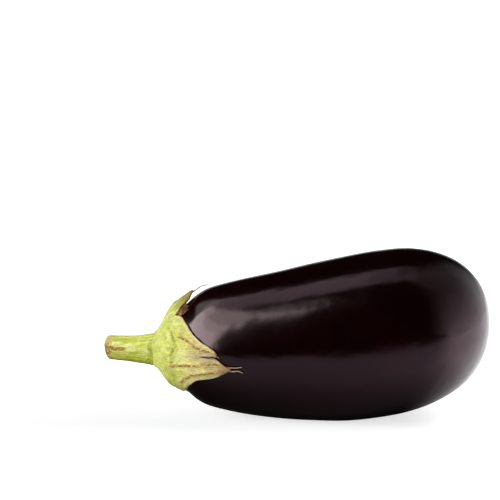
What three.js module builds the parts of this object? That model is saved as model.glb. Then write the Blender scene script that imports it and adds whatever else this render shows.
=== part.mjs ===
// A ripe eggplant (aubergine) lying on its side: the fruit, the green calyx that caps its neck with five
// sepals, and the cut stem. Millimetres, +Z up. X runs along the fruit from the cut stem (-X) to the blossom
// end (+X), the origin is under the middle of the whole, and Z = 0 is the surface that the fruit lies on.
//
// Angles round the fruit are in degrees from straight up (+Z), turning towards -Y.
// A place on the fruit's skin is given by its angle and its "reach": the distance in millimetres along the
// skin from the middle of the neck, where the stem is.

import * as THREE from "three";

// ---- driving dimensions ----
const OVERALL_LENGTH = 206; // cut stem to blossom end
const GREATEST_DIAMETER = 89;
const FLAT_DEPTH = 0.6; // how much of the belly is pressed flat where the fruit rests
const GAP = 0.4; // air between the calyx and the fruit, and between the calyx and the stem

const STEM_LENGTH = 26.4; // from the calyx to the cut
const STEM_RADIUS = 6.4; // near the cut
const STEM_FOOT_RADIUS = 8.4; // where the stem spreads into the calyx
const STEM_BEND = 12; // degrees that the cut end is turned towards +Y
const STEM_RIDGES = 5; // soft ridges along the stem
const STEM_RIDGE_SHARE = 0.055; // of the radius
const CUT_ROUNDING = 1.5; // round the rim of the cut

const COLLAR_RADIUS = 8.4; // flat top of the calyx, under the stem
const CAP_THICK = 2.3; // the calyx on top of the neck
const SEPAL_THICK = 1.25; // along the sepals
const RIM_THICK = 0.75; // at their edges
const SHOULDER = { reach: 17, width: 3.5, height: 0.7 }; // low fold where the cap turns down the fruit
const RIB_HEIGHT = 0.6; // how far a sepal's ribs stand out
const RIB_WIDTH = 2.2;

const FRUIT_SEGMENTS = 44; // round the fruit
const FRUIT_RINGS = 38; // along it
const STEM_SEGMENTS = 32;
const STEM_RINGS = 7;
const ROUNDING_RINGS = 2;
const CALYX_OUTER_RINGS = 13;
const CALYX_INNER_RINGS = 10;
const SEPAL_SIDE_STEPS = 10; // from a notch to a tip
const NARROW_SIDE_STEPS = 5;
const NARROW_SIDE = 12; // degrees: a side no wider than this is narrow

const BLOSSOM_END_X = OVERALL_LENGTH / 2;
const CUT_X = -OVERALL_LENGTH / 2;
const COLLAR_X = CUT_X + STEM_LENGTH; // the calyx's flat top
const FRUIT_TOP_X = COLLAR_X + 3.6; // the fruit's own top, under the calyx
const FRUIT_LENGTH = BLOSSOM_END_X - FRUIT_TOP_X;
const GREATEST_RADIUS = GREATEST_DIAMETER / 2;

const radians = THREE.MathUtils.degToRad;
const lerp = THREE.MathUtils.lerp;
const smooth = (from, to, value) => THREE.MathUtils.smoothstep(value, from, to);

// ---- the fruit's form ----
// Stations along the fruit: [share of its length, radius, height of the middle], the last two as shares of
// the greatest radius. The middle rises towards the blossom end, because the belly carries the weight.
const STATIONS = [
  [0.0, 0.0, 0.858],
  [0.006, 0.15, 0.858],
  [0.018, 0.27, 0.86],
  [0.035, 0.37, 0.866],
  [0.058, 0.443, 0.877],
  [0.0815, 0.516, 0.886],
  [0.1175, 0.636, 0.89],
  [0.16, 0.716, 0.895],
  [0.25, 0.804, 0.9],
  [0.35, 0.872, 0.917],
  [0.46, 0.936, 0.953],
  [0.56, 0.982, 0.993],
  [0.65, 1.0, 1.045],
  [0.741, 0.984, 1.096],
  [0.826, 0.908, 1.138],
  [0.902, 0.76, 1.165],
  [0.956, 0.555, 1.182],
  [0.989, 0.302, 1.192],
  [1.0, 0.0, 1.196],
];
// A mirrored station past each end makes the outline cross the axis squarely.
const past = ([share, radius, height]) => [share, -radius, height];
const profile = new THREE.CatmullRomCurve3(
  [past(STATIONS[1]), ...STATIONS, past(STATIONS.at(-2))].map((station) => new THREE.Vector3(...station)),
  false,
  "catmullrom",
);
const PROFILE_STEPS = STATIONS.length + 1;

// The outline at a place from 0 (top of the neck) to 1 (blossom end) along the list of stations.
const outlineAt = (place) => profile.getPoint((1 + place * (STATIONS.length - 1)) / PROFILE_STEPS);

// The belly's lowest point comes FLAT_DEPTH below the surface, and is then pressed flat.
const SAMPLES = 600;
const samples = Array.from({ length: SAMPLES + 1 }, (_, i) => outlineAt(i / SAMPLES));
const lowest = Math.min(...samples.map((point) => point.z - point.y)) * GREATEST_RADIUS;

// The fruit's section at a place: where it is along X, its radius and the height of its middle.
function sectionAt(place) {
  const point = outlineAt(place);
  return {
    x: FRUIT_TOP_X + point.x * FRUIT_LENGTH,
    radius: Math.max(0, point.y) * GREATEST_RADIUS,
    middle: point.z * GREATEST_RADIUS - lowest - FLAT_DEPTH,
  };
}

// Reach against place, measured once along the outline.
const reaches = [0];
for (let i = 1; i <= SAMPLES; i++) {
  const a = sectionAt((i - 1) / SAMPLES);
  const b = sectionAt(i / SAMPLES);
  reaches.push(reaches[i - 1] + Math.hypot(b.x - a.x, b.radius - a.radius));
}
function placeAtReach(reach) {
  const i = Math.max(1, reaches.findIndex((sample) => sample >= reach));
  const share = (reach - reaches[i - 1]) / (reaches[i] - reaches[i - 1]);
  return (i - 1 + share) / SAMPLES;
}

// A point on the skin. The section is a circle with a slow unevenness, and the belly is flat where it rests.
const OVAL = { share: 0.006, turn: 1.2 };
const THREE_SIDED = { share: 0.004, turn: -0.5, twist: 3 };
function skinPoint(place, angle) {
  const { x, radius, middle } = sectionAt(place);
  const oval = OVAL.share * Math.cos(2 * angle + OVAL.turn);
  const threeSided = THREE_SIDED.share * Math.cos(3 * angle + THREE_SIDED.turn + THREE_SIDED.twist * place);
  const across = radius * (1 + oval + threeSided);
  return new THREE.Vector3(x, -across * Math.sin(angle), Math.max(middle + across * Math.cos(angle), 0));
}

// The skin's outward normal, from two small steps along it.
const STEP = 1e-3;
function skinNormal(place, angle) {
  const at = Math.max(place, 2 * STEP);
  const along = skinPoint(at + STEP, angle).sub(skinPoint(at - STEP, angle));
  const round = skinPoint(at, angle + STEP).sub(skinPoint(at, angle - STEP));
  return round.cross(along).normalize();
}

// ---- closed meshes from rings ----
// Rings of equal length are joined in order, with a point closing each end. Each quad between two rings is
// split along its shorter diagonal.
function closeRings(firstPole, rings, lastPole) {
  const count = rings[0].length;
  const points = [firstPole, ...rings.flat(), lastPole];
  const last = points.length - 1;
  const faces = [];
  for (let j = 0; j < count; j++) {
    const next = (j + 1) % count;
    faces.push(0, 1 + next, 1 + j);
    for (let i = 0; i < rings.length - 1; i++) {
      const here = 1 + i * count;
      const there = here + count;
      const [a, b, c, d] = [here + j, here + next, there + next, there + j];
      if (points[a].distanceTo(points[c]) < points[b].distanceTo(points[d])) {
        faces.push(a, b, c, a, c, d);
      } else {
        faces.push(a, b, d, b, c, d);
      }
    }
    const end = last - count;
    faces.push(last, end + j, end + next);
  }
  const geometry = new THREE.BufferGeometry().setFromPoints(points);
  geometry.setIndex(faces);
  geometry.computeVertexNormals();
  return geometry;
}

function named(name, geometry, color, roughness) {
  const material = new THREE.MeshStandardMaterial({ color, roughness, metalness: 0 });
  const mesh = new THREE.Mesh(geometry, material);
  mesh.name = name;
  return mesh;
}

// ---- fruit ----
function makeFruit() {
  const rings = [];
  for (let i = 1; i < FRUIT_RINGS; i++) {
    const share = i / FRUIT_RINGS;
    const place = (share + placeAtReach(share * reaches.at(-1))) / 2; // closer together at the neck
    const ring = [];
    for (let j = 0; j < FRUIT_SEGMENTS; j++) {
      ring.push(skinPoint(place, (2 * Math.PI * j) / FRUIT_SEGMENTS));
    }
    rings.push(ring);
  }
  const geometry = closeRings(skinPoint(0, 0), rings, skinPoint(1, 0));
  return named("fruit", geometry, 0x1c0a14, 0.2);
}

// ---- calyx ----
// The edge of the cap runs from notch to tip to notch. Each sepal has its tip as [angle, reach], the notch
// that follows it, how its edge runs before and after the tip (1 is straight, less is hollow and more is
// full), how far it arches off the fruit, from which reach on, and how much of that is left at its tip, and
// the angles where each of its ribs starts, at the shoulder, and ends, at the tip.
const SEPALS = [
  { tip: [-11, 37], notch: [16, 20.6], edges: [0.7, 1], arch: [2.2, 10.5, 0.45], ribs: [[-9, -11]] },
  { tip: [87.2, 48.5], notch: [89.6, 38.7], edges: [0.7, 1.6], arch: [0.6, 30, 1], ribs: [[57, 86]] },
  { tip: [99, 55.4], notch: [174, 27], edges: [1.25, 0.28], arch: [0.5, 34, 1], ribs: [[112, 95], [143, 100]] },
  { tip: [214, 48], notch: [247, 25], edges: [0.5, 0.6], arch: [1.2, 26, 0.8], ribs: [[212, 214]] },
  { tip: [283, 46], notch: [318, 21.5], edges: [0.45, 0.5], arch: [1.8, 20, 0.7], ribs: [[284, 283]] },
];
const SWING = [0.6, 1.06]; // a hollow edge swings out to the tip between these shares of its way
const swing = (share) => smooth(...SWING, share) / smooth(...SWING, 1);
const TIP_CROWDING = 1.35; // above 1, meridians are closer together near a tip

// Every meridian of the calyx: its angle, the reach of its edge, its share of the way from a notch to the
// tip, and its sepal.
function calyxMeridians() {
  const meridians = [];
  SEPALS.forEach((sepal, k) => {
    const [beforeAngle, beforeReach] = SEPALS.at(k - 1).notch;
    const sides = [
      { notch: [k === 0 ? beforeAngle - 360 : beforeAngle, beforeReach], fullness: sepal.edges[0], first: 0 },
      { notch: sepal.notch, fullness: sepal.edges[1], first: 1 },
    ];
    const [tipAngle, tipReach] = sepal.tip;
    for (const { notch, fullness, first } of sides) {
      const [notchAngle, notchReach] = notch;
      const steps = Math.abs(tipAngle - notchAngle) < NARROW_SIDE ? NARROW_SIDE_STEPS : SEPAL_SIDE_STEPS;
      for (let i = 0; i < steps; i++) {
        // The last point of each side is the first point of the next.
        const step = Math.abs(first - i / steps);
        const share = 1 - (1 - step) ** TIP_CROWDING;
        meridians.push({
          angle: radians(lerp(notchAngle, tipAngle, share)),
          edge: lerp(notchReach, tipReach, lerp(swing(share), share, fullness)),
          share,
          sepal,
        });
      }
    }
  });
  return meridians;
}

// How far a sepal's ribs raise its back at a point. They rise out of the cap and fade towards the edge.
const RIB_RISE = [12, 20]; // reaches
const RIB_BEND_FROM = 14; // reach where a rib starts to turn towards its tip
const RIB_FADE = { from: 0.8, loss: 0.6 }; // shares of the reach of the edge and of the height
function ribHeight(sepal, angle, reach, shareToEdge) {
  const bend = smooth(RIB_BEND_FROM, sepal.tip[1], reach);
  const { radius } = sectionAt(placeAtReach(reach));
  let height = 0;
  for (const [start, end] of sepal.ribs) {
    const away = (angle - radians(lerp(start, end, bend))) * radius;
    height = Math.max(height, RIB_HEIGHT * Math.exp(-((away / RIB_WIDTH) ** 2)));
  }
  return height * smooth(...RIB_RISE, reach) * (1 - RIB_FADE.loss * smooth(RIB_FADE.from, 1, shareToEdge));
}

// A point of the calyx: level 0 is its inner face and level 1 its outer face.
const THINNING = [10, 30]; // the cap thins to its sepals between these reaches
const RIM_FROM = 0.7; // and a sepal to its rim from this share of the reach of the edge
const ARCH_RISE = 10; // a sepal leaves the fruit over this reach
const ARCH_SIDES = 0.4; // and over this share of the way from its notches
function calyxPoint({ angle, edge, share, sepal }, reach, level) {
  const place = placeAtReach(reach);
  const shareToEdge = reach / edge;
  const [height, start, left] = sepal.arch;
  const rise = smooth(start, start + ARCH_RISE, reach) * smooth(0, ARCH_SIDES, share);
  const arch = height * rise * lerp(1, left, smooth(start + ARCH_RISE, sepal.tip[1], reach));
  const shoulder = SHOULDER.height * Math.exp(-(((reach - SHOULDER.reach) / SHOULDER.width) ** 2));
  const flesh = lerp(CAP_THICK, SEPAL_THICK, smooth(...THINNING, reach)) + shoulder;
  const body = lerp(flesh, RIM_THICK, smooth(RIM_FROM, 1, shareToEdge));
  const thick = body + ribHeight(sepal, angle, reach, shareToEdge);
  return skinPoint(place, angle).addScaledVector(skinNormal(place, angle), GAP + arch + level * thick);
}

const CAP_START = COLLAR_RADIUS + 1.2; // reach of the first ring outside the collar
function makeCalyx() {
  const meridians = calyxMeridians();
  const { middle } = sectionAt(0);
  const onCollar = (radius, angle) =>
    new THREE.Vector3(COLLAR_X, -radius * Math.sin(angle), middle + radius * Math.cos(angle));
  const rings = [];
  for (const radius of [COLLAR_RADIUS / 2, COLLAR_RADIUS]) {
    rings.push(meridians.map(({ angle }) => onCollar(radius, angle)));
  }
  for (let i = 0; i <= CALYX_OUTER_RINGS; i++) {
    rings.push(meridians.map((m) => calyxPoint(m, lerp(CAP_START, m.edge, i / CALYX_OUTER_RINGS), 1)));
  }
  for (let i = CALYX_INNER_RINGS; i > 0; i--) {
    rings.push(meridians.map((m) => calyxPoint(m, (m.edge * i) / CALYX_INNER_RINGS, 0)));
  }
  const innerPole = new THREE.Vector3(FRUIT_TOP_X - GAP, 0, middle);
  return named("calyx", closeRings(onCollar(0, 0), rings, innerPole), 0xa9b94e, 0.7);
}

// ---- stem ----
// The stem leaves the calyx along -X on an arc. Its ridges run along it and soften towards the cut.
const RIDGE_TURN = 0.9; // radians
const RIDGE_SOFTENING = 0.5;
const bend = radians(STEM_BEND);
const arcRadius = (STEM_LENGTH - GAP - STEM_RADIUS * Math.sin(bend)) / Math.sin(bend);

// The ring of the stem at a share of its length, set in by some millimetres, and its centre.
function stemRing(share, inset) {
  const turned = bend * share;
  const centre = new THREE.Vector3(
    COLLAR_X - GAP - arcRadius * Math.sin(turned),
    arcRadius * (1 - Math.cos(turned)),
    sectionAt(0).middle,
  );
  const radius = STEM_RADIUS + (STEM_FOOT_RADIUS - STEM_RADIUS) * (1 - share) ** 2;
  const sideways = new THREE.Vector3(-Math.sin(turned), -Math.cos(turned), 0);
  const up = new THREE.Vector3(0, 0, 1);
  const ring = [];
  for (let j = 0; j < STEM_SEGMENTS; j++) {
    const angle = (2 * Math.PI * j) / STEM_SEGMENTS;
    const ridge = STEM_RIDGE_SHARE * Math.cos(STEM_RIDGES * angle + RIDGE_TURN) * (1 - RIDGE_SOFTENING * share);
    const out = radius * (1 + ridge) - inset;
    const point = centre.clone().addScaledVector(sideways, out * Math.sin(angle));
    ring.push(point.addScaledVector(up, out * Math.cos(angle)));
  }
  return { centre, ring };
}

function makeStem() {
  const rings = [];
  for (let i = 0; i < ROUNDING_RINGS; i++) {
    const round = (Math.PI / 2) * (i / ROUNDING_RINGS);
    const share = 1 - (CUT_ROUNDING / STEM_LENGTH) * (1 - Math.cos(round));
    rings.push(stemRing(share, CUT_ROUNDING * (1 - Math.sin(round))).ring);
  }
  const straight = 1 - CUT_ROUNDING / STEM_LENGTH;
  for (let i = STEM_RINGS; i >= 0; i--) {
    rings.push(stemRing((straight * i) / STEM_RINGS, 0).ring);
  }
  return named("stem", closeRings(stemRing(1, 0).centre, rings, stemRing(0, 0).centre), 0xb3bf52, 0.75);
}

const eggplant = new THREE.Group();
eggplant.add(makeFruit(), makeCalyx(), makeStem());

export default eggplant;
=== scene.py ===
import math

import bmesh
import bpy
import numpy as np
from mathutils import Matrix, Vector, kdtree, noise


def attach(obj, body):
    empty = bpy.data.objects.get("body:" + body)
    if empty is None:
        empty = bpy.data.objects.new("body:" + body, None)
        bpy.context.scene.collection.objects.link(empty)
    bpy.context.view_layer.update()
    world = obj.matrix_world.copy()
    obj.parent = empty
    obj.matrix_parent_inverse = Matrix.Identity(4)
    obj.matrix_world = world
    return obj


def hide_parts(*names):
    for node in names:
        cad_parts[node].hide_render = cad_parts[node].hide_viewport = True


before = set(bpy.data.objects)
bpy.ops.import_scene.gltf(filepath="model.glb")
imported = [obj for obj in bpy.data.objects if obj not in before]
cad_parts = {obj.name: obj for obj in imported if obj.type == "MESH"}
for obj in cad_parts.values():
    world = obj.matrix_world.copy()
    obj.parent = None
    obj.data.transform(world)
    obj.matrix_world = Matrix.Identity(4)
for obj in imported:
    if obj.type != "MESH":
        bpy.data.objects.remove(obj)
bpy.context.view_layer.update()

MM = 0.001
WHOLE_TURN = 2 * math.pi

# ---- the form that the CAD solids share ----
# Angles round the fruit are from straight up, turning towards -Y: degrees in the lists, radians in the sums.
# Reach is the distance along the skin from the middle of the neck, where the stem is.
BLOSSOM_END_X = 103
COLLAR_X = -76.6  # the calyx's flat top, under the stem
COLLAR_DEPTH = 3.6  # from there down to the fruit
FRUIT_TOP_X = COLLAR_X + COLLAR_DEPTH
FRUIT_LENGTH = BLOSSOM_END_X - FRUIT_TOP_X
GREATEST_RADIUS = 44.5
FLAT_DEPTH = 0.6
GAP = 0.4

# Share of the fruit's length, radius, height of the middle, the last two as shares of the greatest radius.
STATIONS = np.array(
    [
        (0.0, 0.0, 0.858),
        (0.006, 0.15, 0.858),
        (0.018, 0.27, 0.86),
        (0.035, 0.37, 0.866),
        (0.058, 0.443, 0.877),
        (0.0815, 0.516, 0.886),
        (0.1175, 0.636, 0.89),
        (0.16, 0.716, 0.895),
        (0.25, 0.804, 0.9),
        (0.35, 0.872, 0.917),
        (0.46, 0.936, 0.953),
        (0.56, 0.982, 0.993),
        (0.65, 1.0, 1.045),
        (0.741, 0.984, 1.096),
        (0.826, 0.908, 1.138),
        (0.902, 0.76, 1.165),
        (0.956, 0.555, 1.182),
        (0.989, 0.302, 1.192),
        (1.0, 0.0, 1.196),
    ]
)
ACROSS_THE_AXIS = (1, -1, 1)  # mirrors a station, so that the outline rounds off at both ends
KNOTS = np.vstack([STATIONS[1] * ACROSS_THE_AXIS, STATIONS, STATIONS[-2] * ACROSS_THE_AXIS])
OVAL = 0.006  # the section's departures from round, as shares of its radius
THREE_SIDED = 0.004


def lerp(a, b, share):
    return a + (b - a) * share


def smooth(low, high, value):
    share = np.clip((np.asarray(value, float) - low) / (high - low), 0, 1)
    return share * share * (3 - 2 * share)


def bell(value, middle, width):
    return np.exp(-(((value - middle) / width) ** 2))


def through(knots, at):
    """A smooth line through the knots, where at counts knots from the second one."""
    at = np.asarray(at, float)
    i = np.clip(np.floor(at).astype(int), 0, len(knots) - 4)
    t = (at - i)[..., None]
    a, b, c, d = (knots[i + k] for k in range(4))
    return 0.5 * (2 * b + (c - a) * t + (2 * a - 5 * b + 4 * c - d) * t**2 + (3 * b - a - 3 * c + d) * t**3)


def line_through(points, count):
    """So many points, evenly counted, on a smooth line through a few."""
    points = np.array(points, float)
    knots = np.vstack([2 * points[0] - points[1], points, 2 * points[-1] - points[-2]])
    return through(knots, np.linspace(0, len(points) - 1, count))


OUTLINE_STEPS = 600
PLACES = np.linspace(0, 1, OUTLINE_STEPS + 1)
OUTLINE = through(KNOTS, PLACES * (len(STATIONS) - 1))
LOWEST = (OUTLINE[:, 2] - OUTLINE[:, 1]).min() * GREATEST_RADIUS
STEPS_ALONG = np.hypot(np.diff(OUTLINE[:, 0]) * FRUIT_LENGTH, np.diff(OUTLINE[:, 1]) * GREATEST_RADIUS)
REACHES = np.concatenate([[0], np.cumsum(STEPS_ALONG)])


def place_at(reach):
    """How far through the stations, from 0 to 1, a reach is."""
    return np.interp(reach, REACHES, PLACES)


def section_at(place):
    """The x of a section, its radius, and the height of its middle."""
    share, radius, middle = np.moveaxis(through(KNOTS, place * (len(STATIONS) - 1)), -1, 0)
    return (
        FRUIT_TOP_X + share * FRUIT_LENGTH,
        np.maximum(0, radius) * GREATEST_RADIUS,
        middle * GREATEST_RADIUS - LOWEST - FLAT_DEPTH,
    )


NECK_HEIGHT = section_at(0.0)[2]


def skin_point(place, angle):
    """A point of the fruit's skin, whose section is a little uneven all along."""
    x, radius, middle = section_at(place)
    uneven = OVAL * np.cos(2 * angle + 1.2) + THREE_SIDED * np.cos(3 * angle - 0.5 + 3 * place)
    across = radius * (1 + uneven)
    height = np.maximum(middle + across * np.cos(angle), 0)
    return np.stack([x + 0 * angle, -across * np.sin(angle), height], -1)


def skin_normal(place, angle):
    step = 1e-3
    at = np.clip(place, 2 * step, 1 - 2 * step)
    along = skin_point(at + step, angle) - skin_point(at - step, angle)
    around = skin_point(at, angle + step) - skin_point(at, angle - step)
    normal = np.cross(around, along)
    return normal / np.linalg.norm(normal, axis=-1, keepdims=True)


def on_skin(angle_degrees, reach, height):
    """Points at a height above the skin."""
    angle = np.radians(angle_degrees)
    place = place_at(reach)
    return skin_point(place, angle) + skin_normal(place, angle) * np.asarray(height, float)[..., None]


# ---- making pieces ----
def lumps(points, size, seed):
    """Even, rounded unevenness from about -1 to 1, with humps of about that size in millimetres."""
    shift = Vector((seed * 17.3, seed * 5.1, seed * 29.7))
    return np.array([noise.noise(Vector(p) / size + shift) for p in points])


def distance_to(curve, points):
    """How far each point is from a line that is given by closely spaced points."""
    tree = kdtree.KDTree(len(curve))
    for i, point in enumerate(curve):
        tree.insert(point, i)
    tree.balance()
    return np.array([tree.find(point)[2] for point in points])


def shares_of(ring, *runs):
    """How far each ring is, from 0 to 1, through each of the runs of rings that follow one another."""
    starts = np.cumsum((0, *runs[:-1]))
    return [np.clip((ring - start) / run, 0, 1) for start, run in zip(starts, runs)]


def add_object(name, bm, finish):
    """Puts a mesh with its finish into the scene."""
    mesh = bpy.data.meshes.new(name)
    bm.to_mesh(mesh)
    bm.free()
    mesh.materials.append(finish)
    thing = bpy.data.objects.new(name, mesh)
    bpy.context.scene.collection.objects.link(thing)
    return thing


def make_piece(name, rings, around, shape, finish, node=None):
    """A ball with so many rings and points around, whose points are moved to where the shape puts them.

    The shape gets each point's ring and its number around, and gives its place in millimetres and the
    values that the finish reads.
    """
    bm = bmesh.new()
    bmesh.ops.create_uvsphere(bm, u_segments=around, v_segments=rings, radius=1)
    ball = np.array([v.co for v in bm.verts])
    ring = np.rint(np.arccos(np.clip(ball[:, 2], -1, 1)) / math.pi * rings).astype(int)
    turn = np.arctan2(ball[:, 1], ball[:, 0]) / WHOLE_TURN
    number = np.rint(turn * around).astype(int) % around
    points, values = shape(ring, number)
    for vertex, point in zip(bm.verts, points * MM):
        vertex.co = point
    bmesh.ops.recalc_face_normals(bm, faces=bm.faces)
    for face in bm.faces:
        face.smooth = True
    piece = add_object(name, bm, finish)
    for title, data in values.items():
        kind, field = ("FLOAT", "value") if data.ndim == 1 else ("FLOAT_VECTOR", "vector")
        layer = piece.data.attributes.new(title, kind, "POINT")
        layer.data.foreach_set(field, data.astype(np.float32).ravel())
    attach(piece, "root")
    if node:
        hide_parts(node)


# ---- finishes ----
def shade(red, green, blue):
    return (red, green, blue, 1)


WHITE = shade(1, 1, 1)
BLACK = shade(0, 0, 0)
GRAIN_OLIVE = shade(0.16, 0.17, 0.01)


class Wire:
    """A node's output. Reckoning with it as with a number adds the Math nodes."""

    def __init__(self, nodes, socket):
        self.nodes = nodes
        self.socket = socket

    def __add__(self, other):
        return self.nodes.reckon("ADD", self, other)

    def __sub__(self, other):
        return self.nodes.reckon("SUBTRACT", self, other)

    def __rsub__(self, other):
        return self.nodes.reckon("SUBTRACT", other, self)

    def __mul__(self, other):
        return self.nodes.reckon("MULTIPLY", self, other)

    def __pow__(self, other):
        return self.nodes.reckon("POWER", self, other)

    def __abs__(self):
        return self.nodes.reckon("ABSOLUTE", self, 0)

    __radd__ = __add__
    __rmul__ = __mul__


class Nodes:
    """A tree of shader nodes, built up node by node."""

    def __init__(self, tree):
        self.tree = tree
        self.tree.nodes.clear()

    def add(self, kind, settings, sockets, output=0):
        """A node with its settings, such as a ramp's stops, and its sockets' values or links."""
        node = self.tree.nodes.new("ShaderNode" + kind)
        for name, value in settings.items():
            if name == "stops":
                elements = node.color_ramp.elements
                while len(elements) < len(value):
                    elements.new(1)
                for element, (position, colour) in zip(elements, value):
                    element.position, element.color = position, colour
            else:
                setattr(node, name, value)
        for name, value in sockets.items():
            if isinstance(value, Wire):
                self.tree.links.new(value.socket, node.inputs[name])
            else:
                node.inputs[name].default_value = value
        return Wire(self, node.outputs[output]) if node.outputs else None

    def reckon(self, operation, a, b):
        return self.add("Math", {"operation": operation}, {0: a, 1: b})

    def attribute(self, name):
        return self.add("Attribute", {"attribute_name": name}, {}, "Fac")

    def direction(self, name):
        return self.add("Attribute", {"attribute_name": name}, {}, "Vector")

    def place(self):
        return self.add("TexCoord", {}, {}, "Object")

    def axis(self, vector, letter):
        return self.add("SeparateXYZ", {}, {"Vector": vector}, letter)

    def stretched(self, vector, scale):
        return self.add("Mapping", {}, {"Vector": vector, "Scale": scale})

    def mottle(self, vector, scale, detail=2, roughness=0.5):
        sockets = {"Vector": vector, "Scale": scale, "Detail": detail, "Roughness": roughness}
        return self.add("TexNoise", {}, sockets, "Fac")

    def ease(self, value, low, high):
        sockets = {"Value": value, "From Min": low, "From Max": high}
        return self.add("MapRange", {"interpolation_type": "SMOOTHSTEP"}, sockets)

    def tint(self, mask, a, b, way="MIX"):
        """Colour a, and colour b where the mask is 1. A Mix node's colours are its sockets 6, 7 and 2."""
        return self.add("Mix", {"data_type": "RGBA", "blend_type": way}, {0: mask, 6: a, 7: b}, 2)

    def grained(self, colour, vector, depth):
        """The colour with fine, uneven dark grain in it."""
        grain = self.ease(self.mottle(vector, 1, 3, 0.7), 0.38, 0.56)
        return self.tint(depth, colour, self.tint(grain, GRAIN_OLIVE, WHITE), "MULTIPLY")

    def relief(self, height, distance, under=None):
        sockets = {"Height": height, "Distance": distance}
        if under:
            sockets["Normal"] = under
        return self.add("Bump", {}, sockets)


class Finish(Nodes):
    """A material."""

    def __init__(self, name):
        self.material = bpy.data.materials.new(name)
        self.material.use_nodes = True
        super().__init__(self.material.node_tree)

    def done(self, **sockets):
        named = {key.replace("_", " "): value for key, value in sockets.items()}
        shader = self.add("BsdfPrincipled", {}, named)
        self.add("OutputMaterial", {}, {"Surface": shader})
        return self.material


# ---- the outline of the calyx ----
COLLAR_RADIUS = 8.4
CAP_START = COLLAR_RADIUS + 1.2

# For each sepal, as (angle, reach): its tip, the notch that follows it, its edge before and after the tip,
# its ribs, and the seam that follows it. Then how far from the tip it is dry; how much of its arch is kept
# away from the tip, before and after it; its arch off the fruit, as its height, the reach where it starts,
# how far on it is full, and how much is left at the tip; and how far it laps over or under the next one.
SEPALS = [
    {
        "tip": (-8, 35.3),
        "dry": 3.5,
        "notch": (16, 21.4),
        "before": [(-37, 23), (-29, 25.6), (-20, 29), (-13, 32.8)],
        "after": [(-3.5, 33.6), (1.5, 31.7), (7, 29), (12.3, 26.2), (15.2, 23.4)],
        "lean": (0.1, 0.5),
        "arch": (2.9, 13.5, 11, 0.65),
        "lap": 0,
        "ribs": [[(-9, 12), (-9, 24), (-8, 34)]],
        "seam": [(16, 17), (16, 21.5)],
    },
    {
        "tip": (86.6, 48.4),
        "dry": 2.5,
        "notch": (88.1, 40.3),
        "before": [
            (29, 25.3),
            (45, 28.8),
            (57, 31.8),
            (65, 34.8),
            (72, 38.2),
            (77, 42.2),
            (81, 45.6),
            (84.2, 47.6),
        ],
        "after": [(87.5, 48), (87.8, 45)],
        "lean": (1, 1),
        "arch": (0.6, 30, 10, 1),
        "lap": 0.5,
        "ribs": [[(64, 26), (69, 29.5), (74, 33), (80, 38.6), (82.6, 43), (83.3, 46.6)]],
        "seam": [(84.5, 34), (87.6, 40), (87.9, 44), (87.3, 48.5)],
    },
    {
        "tip": (98, 55.6),
        "dry": 11,
        "notch": (172, 26),
        "before": [(88.4, 44.5), (88.8, 46.6), (91.3, 49.2), (95, 52.2)],
        "after": [(101.7, 51.6), (106.2, 47), (109.7, 41.4), (115, 36.4), (125, 32.4), (142.5, 29.2)],
        "lean": (1, 1),
        "arch": (0.5, 34, 10, 1),
        "lap": -0.4,
        "ribs": [
            [(105.5, 19), (103, 24), (98.5, 33.8), (94.3, 43), (93.6, 49), (95.5, 52.5)],
            [(129, 26), (122, 28.3), (116, 30.8), (109, 34.5), (103.5, 42), (100.8, 47), (98, 52)],
        ],
        "seam": [(172, 21), (172, 26)],
    },
    {
        "tip": (214, 48),
        "dry": 9,
        "notch": (247, 25),
        "before": [(184, 28.5), (196, 34), (206, 41.5)],
        "after": [(221, 42), (229, 35), (238, 29)],
        "lean": (1, 1),
        "arch": (1.2, 26, 10, 0.8),
        "lap": 0,
        "ribs": [[(212, 16), (213, 32), (214, 46)]],
        "seam": [(247, 20), (247, 25)],
    },
    {
        "tip": (283, 46),
        "dry": 9,
        "notch": (318, 21.5),
        "before": [(257, 28.5), (268, 34.5), (276.5, 41)],
        "after": [(289.5, 40.5), (298, 33), (308, 26)],
        "lean": (1, 1),
        "arch": (1.8, 20, 10, 0.7),
        "lap": 0,
        "ribs": [[(284, 15), (283.5, 30), (283, 44)]],
        "seam": [(318, 17), (318, 21.5)],
    },
]
TOP_SEPAL = 0
SIDE_STEPS = 56  # meridians from a notch to a tip
NARROW_SIDE_STEPS = 28
NARROW_SIDE = 12  # degrees
ARCH_NEAR_TIP = 0.65  # the share of the way to the tip from which both sides of a sepal arch alike


def calyx_meridians():
    """For every meridian, its angle and what goes with it.

    That is the reach of its edge, its share of the way from a notch to the tip, its sepal, and how much it
    keeps of the sepal's arch.
    """
    rows = []
    for k, sepal in enumerate(SEPALS):
        before_angle, before_reach = SEPALS[k - 1]["notch"]
        before = (before_angle - (360 if k == 0 else 0), before_reach)
        sides = ([before, *sepal["before"], sepal["tip"]], [sepal["tip"], *sepal["after"], sepal["notch"]])
        for after_tip, route in enumerate(sides):
            steps = NARROW_SIDE_STEPS if route[-1][0] - route[0][0] < NARROW_SIDE else SIDE_STEPS
            way = np.linspace(0, 1, steps + 1)[:-1]
            angle, reach = line_through(route, steps + 1)[:-1].T
            share = 1 - way if after_tip else way
            lean = lerp(sepal["lean"][after_tip], 1, smooth(ARCH_NEAR_TIP, 1, share))
            rows.append(np.stack([np.radians(angle), reach, share, share * 0 + k, lean], -1))
    return np.vstack(rows)


MERIDIANS = calyx_meridians()
SEPAL_OF = MERIDIANS[:, 3].astype(int)
TIP_ANGLE, TIP_REACH = np.array([sepal["tip"] for sepal in SEPALS], float).T
DRY_PART = np.array([sepal["dry"] for sepal in SEPALS], float)
ARCH = np.array([sepal["arch"] for sepal in SEPALS], float)
LAP = np.array([sepal["lap"] for sepal in SEPALS], float)


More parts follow.
